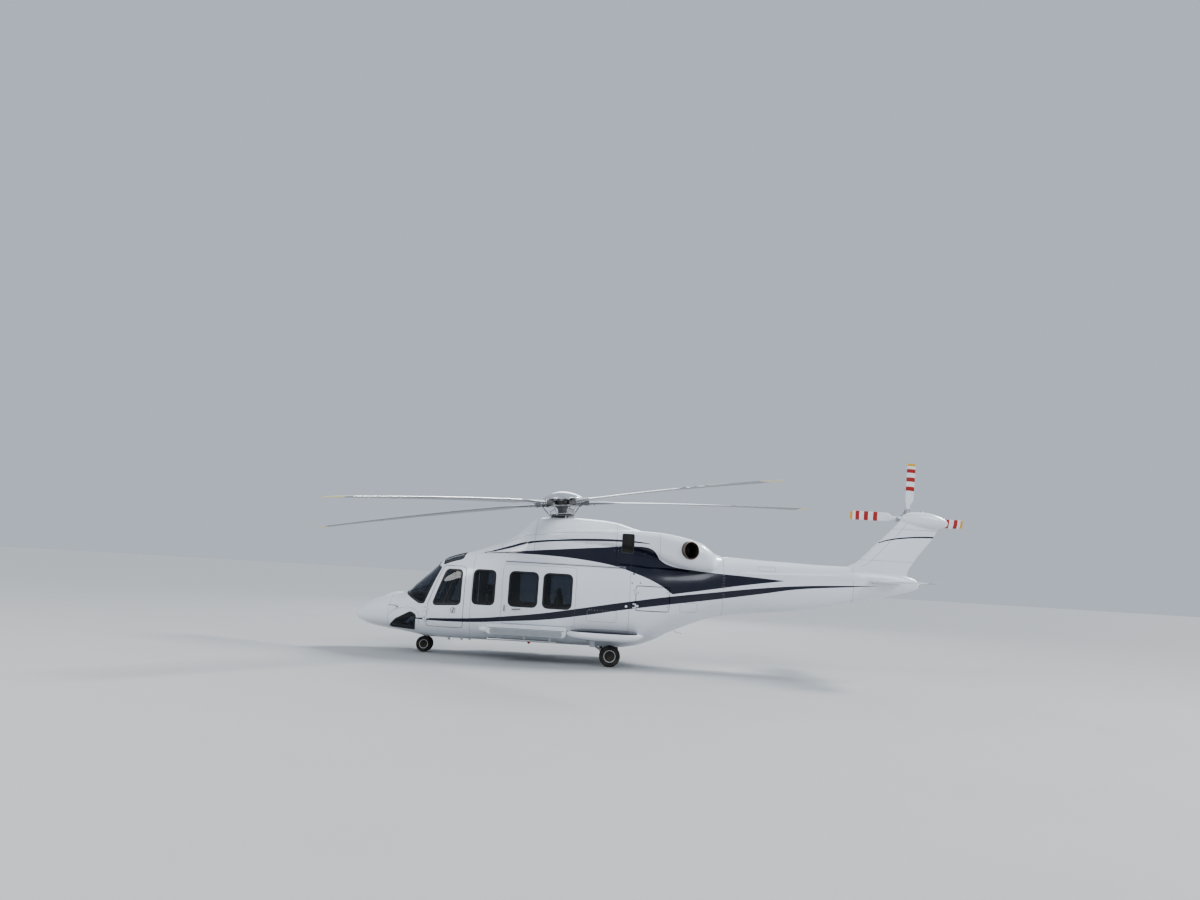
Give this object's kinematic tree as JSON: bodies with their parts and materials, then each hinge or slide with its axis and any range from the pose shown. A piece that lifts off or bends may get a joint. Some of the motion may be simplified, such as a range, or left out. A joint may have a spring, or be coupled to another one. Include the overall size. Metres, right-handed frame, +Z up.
{
  "type": "twin-engined transport helicopter",
  "caption": "Transport helicopter on wheels with a main rotor, a canted tail rotor, a hollow cabin with hinged and sliding doors, side sponsons and engine cowlings.",
  "frame": {"origin": "centre of the underside of the flat pad on the belly centreline, a little aft of the main rotor mast", "axes": "+X aft along the fuselage, +Y to starboard, +Z up"},
  "size_m": [15.9459, 12.2106, 5.0221],
  "materials": {
    "skin_white": "gloss white paint with navy bands",
    "skin_navy": "gloss navy paint",
    "exhaust_metal": "heat-stained steel with a white rim",
    "machinery": "bare castings",
    "gear_steel": "painted steel with a chromed strut",
    "rotor_metal": "machined metal with a white cap",
    "blade": "painted composite",
    "tyre": "black rubber",
    "window": "tinted acrylic with a dark seal",
    "cabin_trim": "grained dark trim",
    "seat_cover": "pale seat cover"
  },
  "bodies": {
    "airframe": {"nose_cone": "skin_white", "cockpit_frame": "skin_white", "cabin_shell": "skin_white", "aft_fuselage": "skin_white", "tail_boom": "skin_white", "tail_fin": "skin_white", "tail_gearbox": "skin_white", "stabiliser_left": "skin_white", "stabiliser_right": "skin_white", "main_cowling": "skin_white", "engine_cowling": "skin_navy", "exhaust_left": "exhaust_metal", "exhaust_right": "exhaust_metal", "powerplant": "machinery", "sponson_left": "skin_navy", "sponson_right": "skin_navy", "main_leg_left": "gear_steel", "main_leg_right": "gear_steel", "step_fairing_left": "skin_white", "step_fairing_right": "skin_white", "cabin_door_left": "skin_white", "cabin_door_right": "skin_white", "windshield_left": "window", "windshield_right": "window", "chin_window_left": "window", "chin_window_right": "window", "roof_window_left": "window", "roof_window_right": "window", "side_window_left": "window", "side_window_right": "window", "cabin_window_front_left": "window", "cabin_window_front_right": "window", "cabin_window_rear_left": "window", "cabin_window_rear_right": "window", "cabin_floor": "cabin_trim", "instrument_panel": "cabin_trim", "crew_seat_left": "seat_cover", "crew_seat_right": "seat_cover", "seat_row_1": "seat_cover", "seat_row_2": "seat_cover", "seat_row_3": "seat_cover"},
    "main_rotor": {"rotor_hub": "rotor_metal", "main_blade_1": "blade", "main_blade_2": "blade", "main_blade_3": "blade", "main_blade_4": "blade", "main_blade_5": "blade"},
    "tail_rotor_body": {"tail_rotor": "blade"},
    "nose_gear": {"nose_leg": "gear_steel"},
    "nose_wheel_pair": {"nose_wheels": "tyre"},
    "wheel_left": {"main_wheel_left": "tyre"},
    "wheel_right": {"main_wheel_right": "tyre"},
    "pilot_door_left": {"crew_door_left": "skin_white", "crew_door_glass_left": "window"},
    "pilot_door_right": {"crew_door_right": "skin_white", "crew_door_glass_right": "window"},
    "hold_door_left": {"baggage_door_left": "skin_white"},
    "hold_door_right": {"baggage_door_right": "skin_white"}
  },
  "joints": [
    {"name": "main_rotor_spin", "type": "hinge", "parent": "airframe", "child": "main_rotor", "pos_m": [-0.14, 0, 3.252], "axis": [-0.0958, 0, 0.9954], "continuous": true},
    {"name": "tail_rotor_spin", "type": "hinge", "parent": "airframe", "child": "tail_rotor_body", "pos_m": [8.09, 0.43, 3.372], "axis": [0, 0.9848, 0.1736], "continuous": true},
    {"name": "nose_gear_steer", "type": "hinge", "parent": "airframe", "child": "nose_gear", "pos_m": [-3.08, 0, 0], "axis": [0, 0, 1], "range_deg": [-60, 60]},
    {"name": "nose_wheels_spin", "type": "hinge", "parent": "nose_gear", "child": "nose_wheel_pair", "pos_m": [-3.08, 0, -0.143], "axis": [0, 1, 0], "continuous": true},
    {"name": "main_wheel_left_spin", "type": "hinge", "parent": "airframe", "child": "wheel_left", "pos_m": [1.15, -1.05, -0.09], "axis": [0, 1, 0], "continuous": true},
    {"name": "main_wheel_right_spin", "type": "hinge", "parent": "airframe", "child": "wheel_right", "pos_m": [1.15, 1.05, -0.09], "axis": [0, 1, 0], "continuous": true},
    {"name": "crew_door_left_hinge", "type": "hinge", "parent": "airframe", "child": "pilot_door_left", "pos_m": [-2.905, -1.01, 0.602], "axis": [0, 0, -1], "range_deg": [0, 75]},
    {"name": "crew_door_right_hinge", "type": "hinge", "parent": "airframe", "child": "pilot_door_right", "pos_m": [-2.905, 1.01, 0.602], "axis": [0, 0, 1], "range_deg": [0, 75]},
    {"name": "baggage_door_left_hinge", "type": "hinge", "parent": "airframe", "child": "hold_door_left", "pos_m": [1.652, -1.108, 1.167], "axis": [0, 0, -1], "range_deg": [0, 100]},
    {"name": "baggage_door_right_hinge", "type": "hinge", "parent": "airframe", "child": "hold_door_right", "pos_m": [1.652, 1.108, 1.167], "axis": [0, 0, 1], "range_deg": [0, 100]}
  ]
}
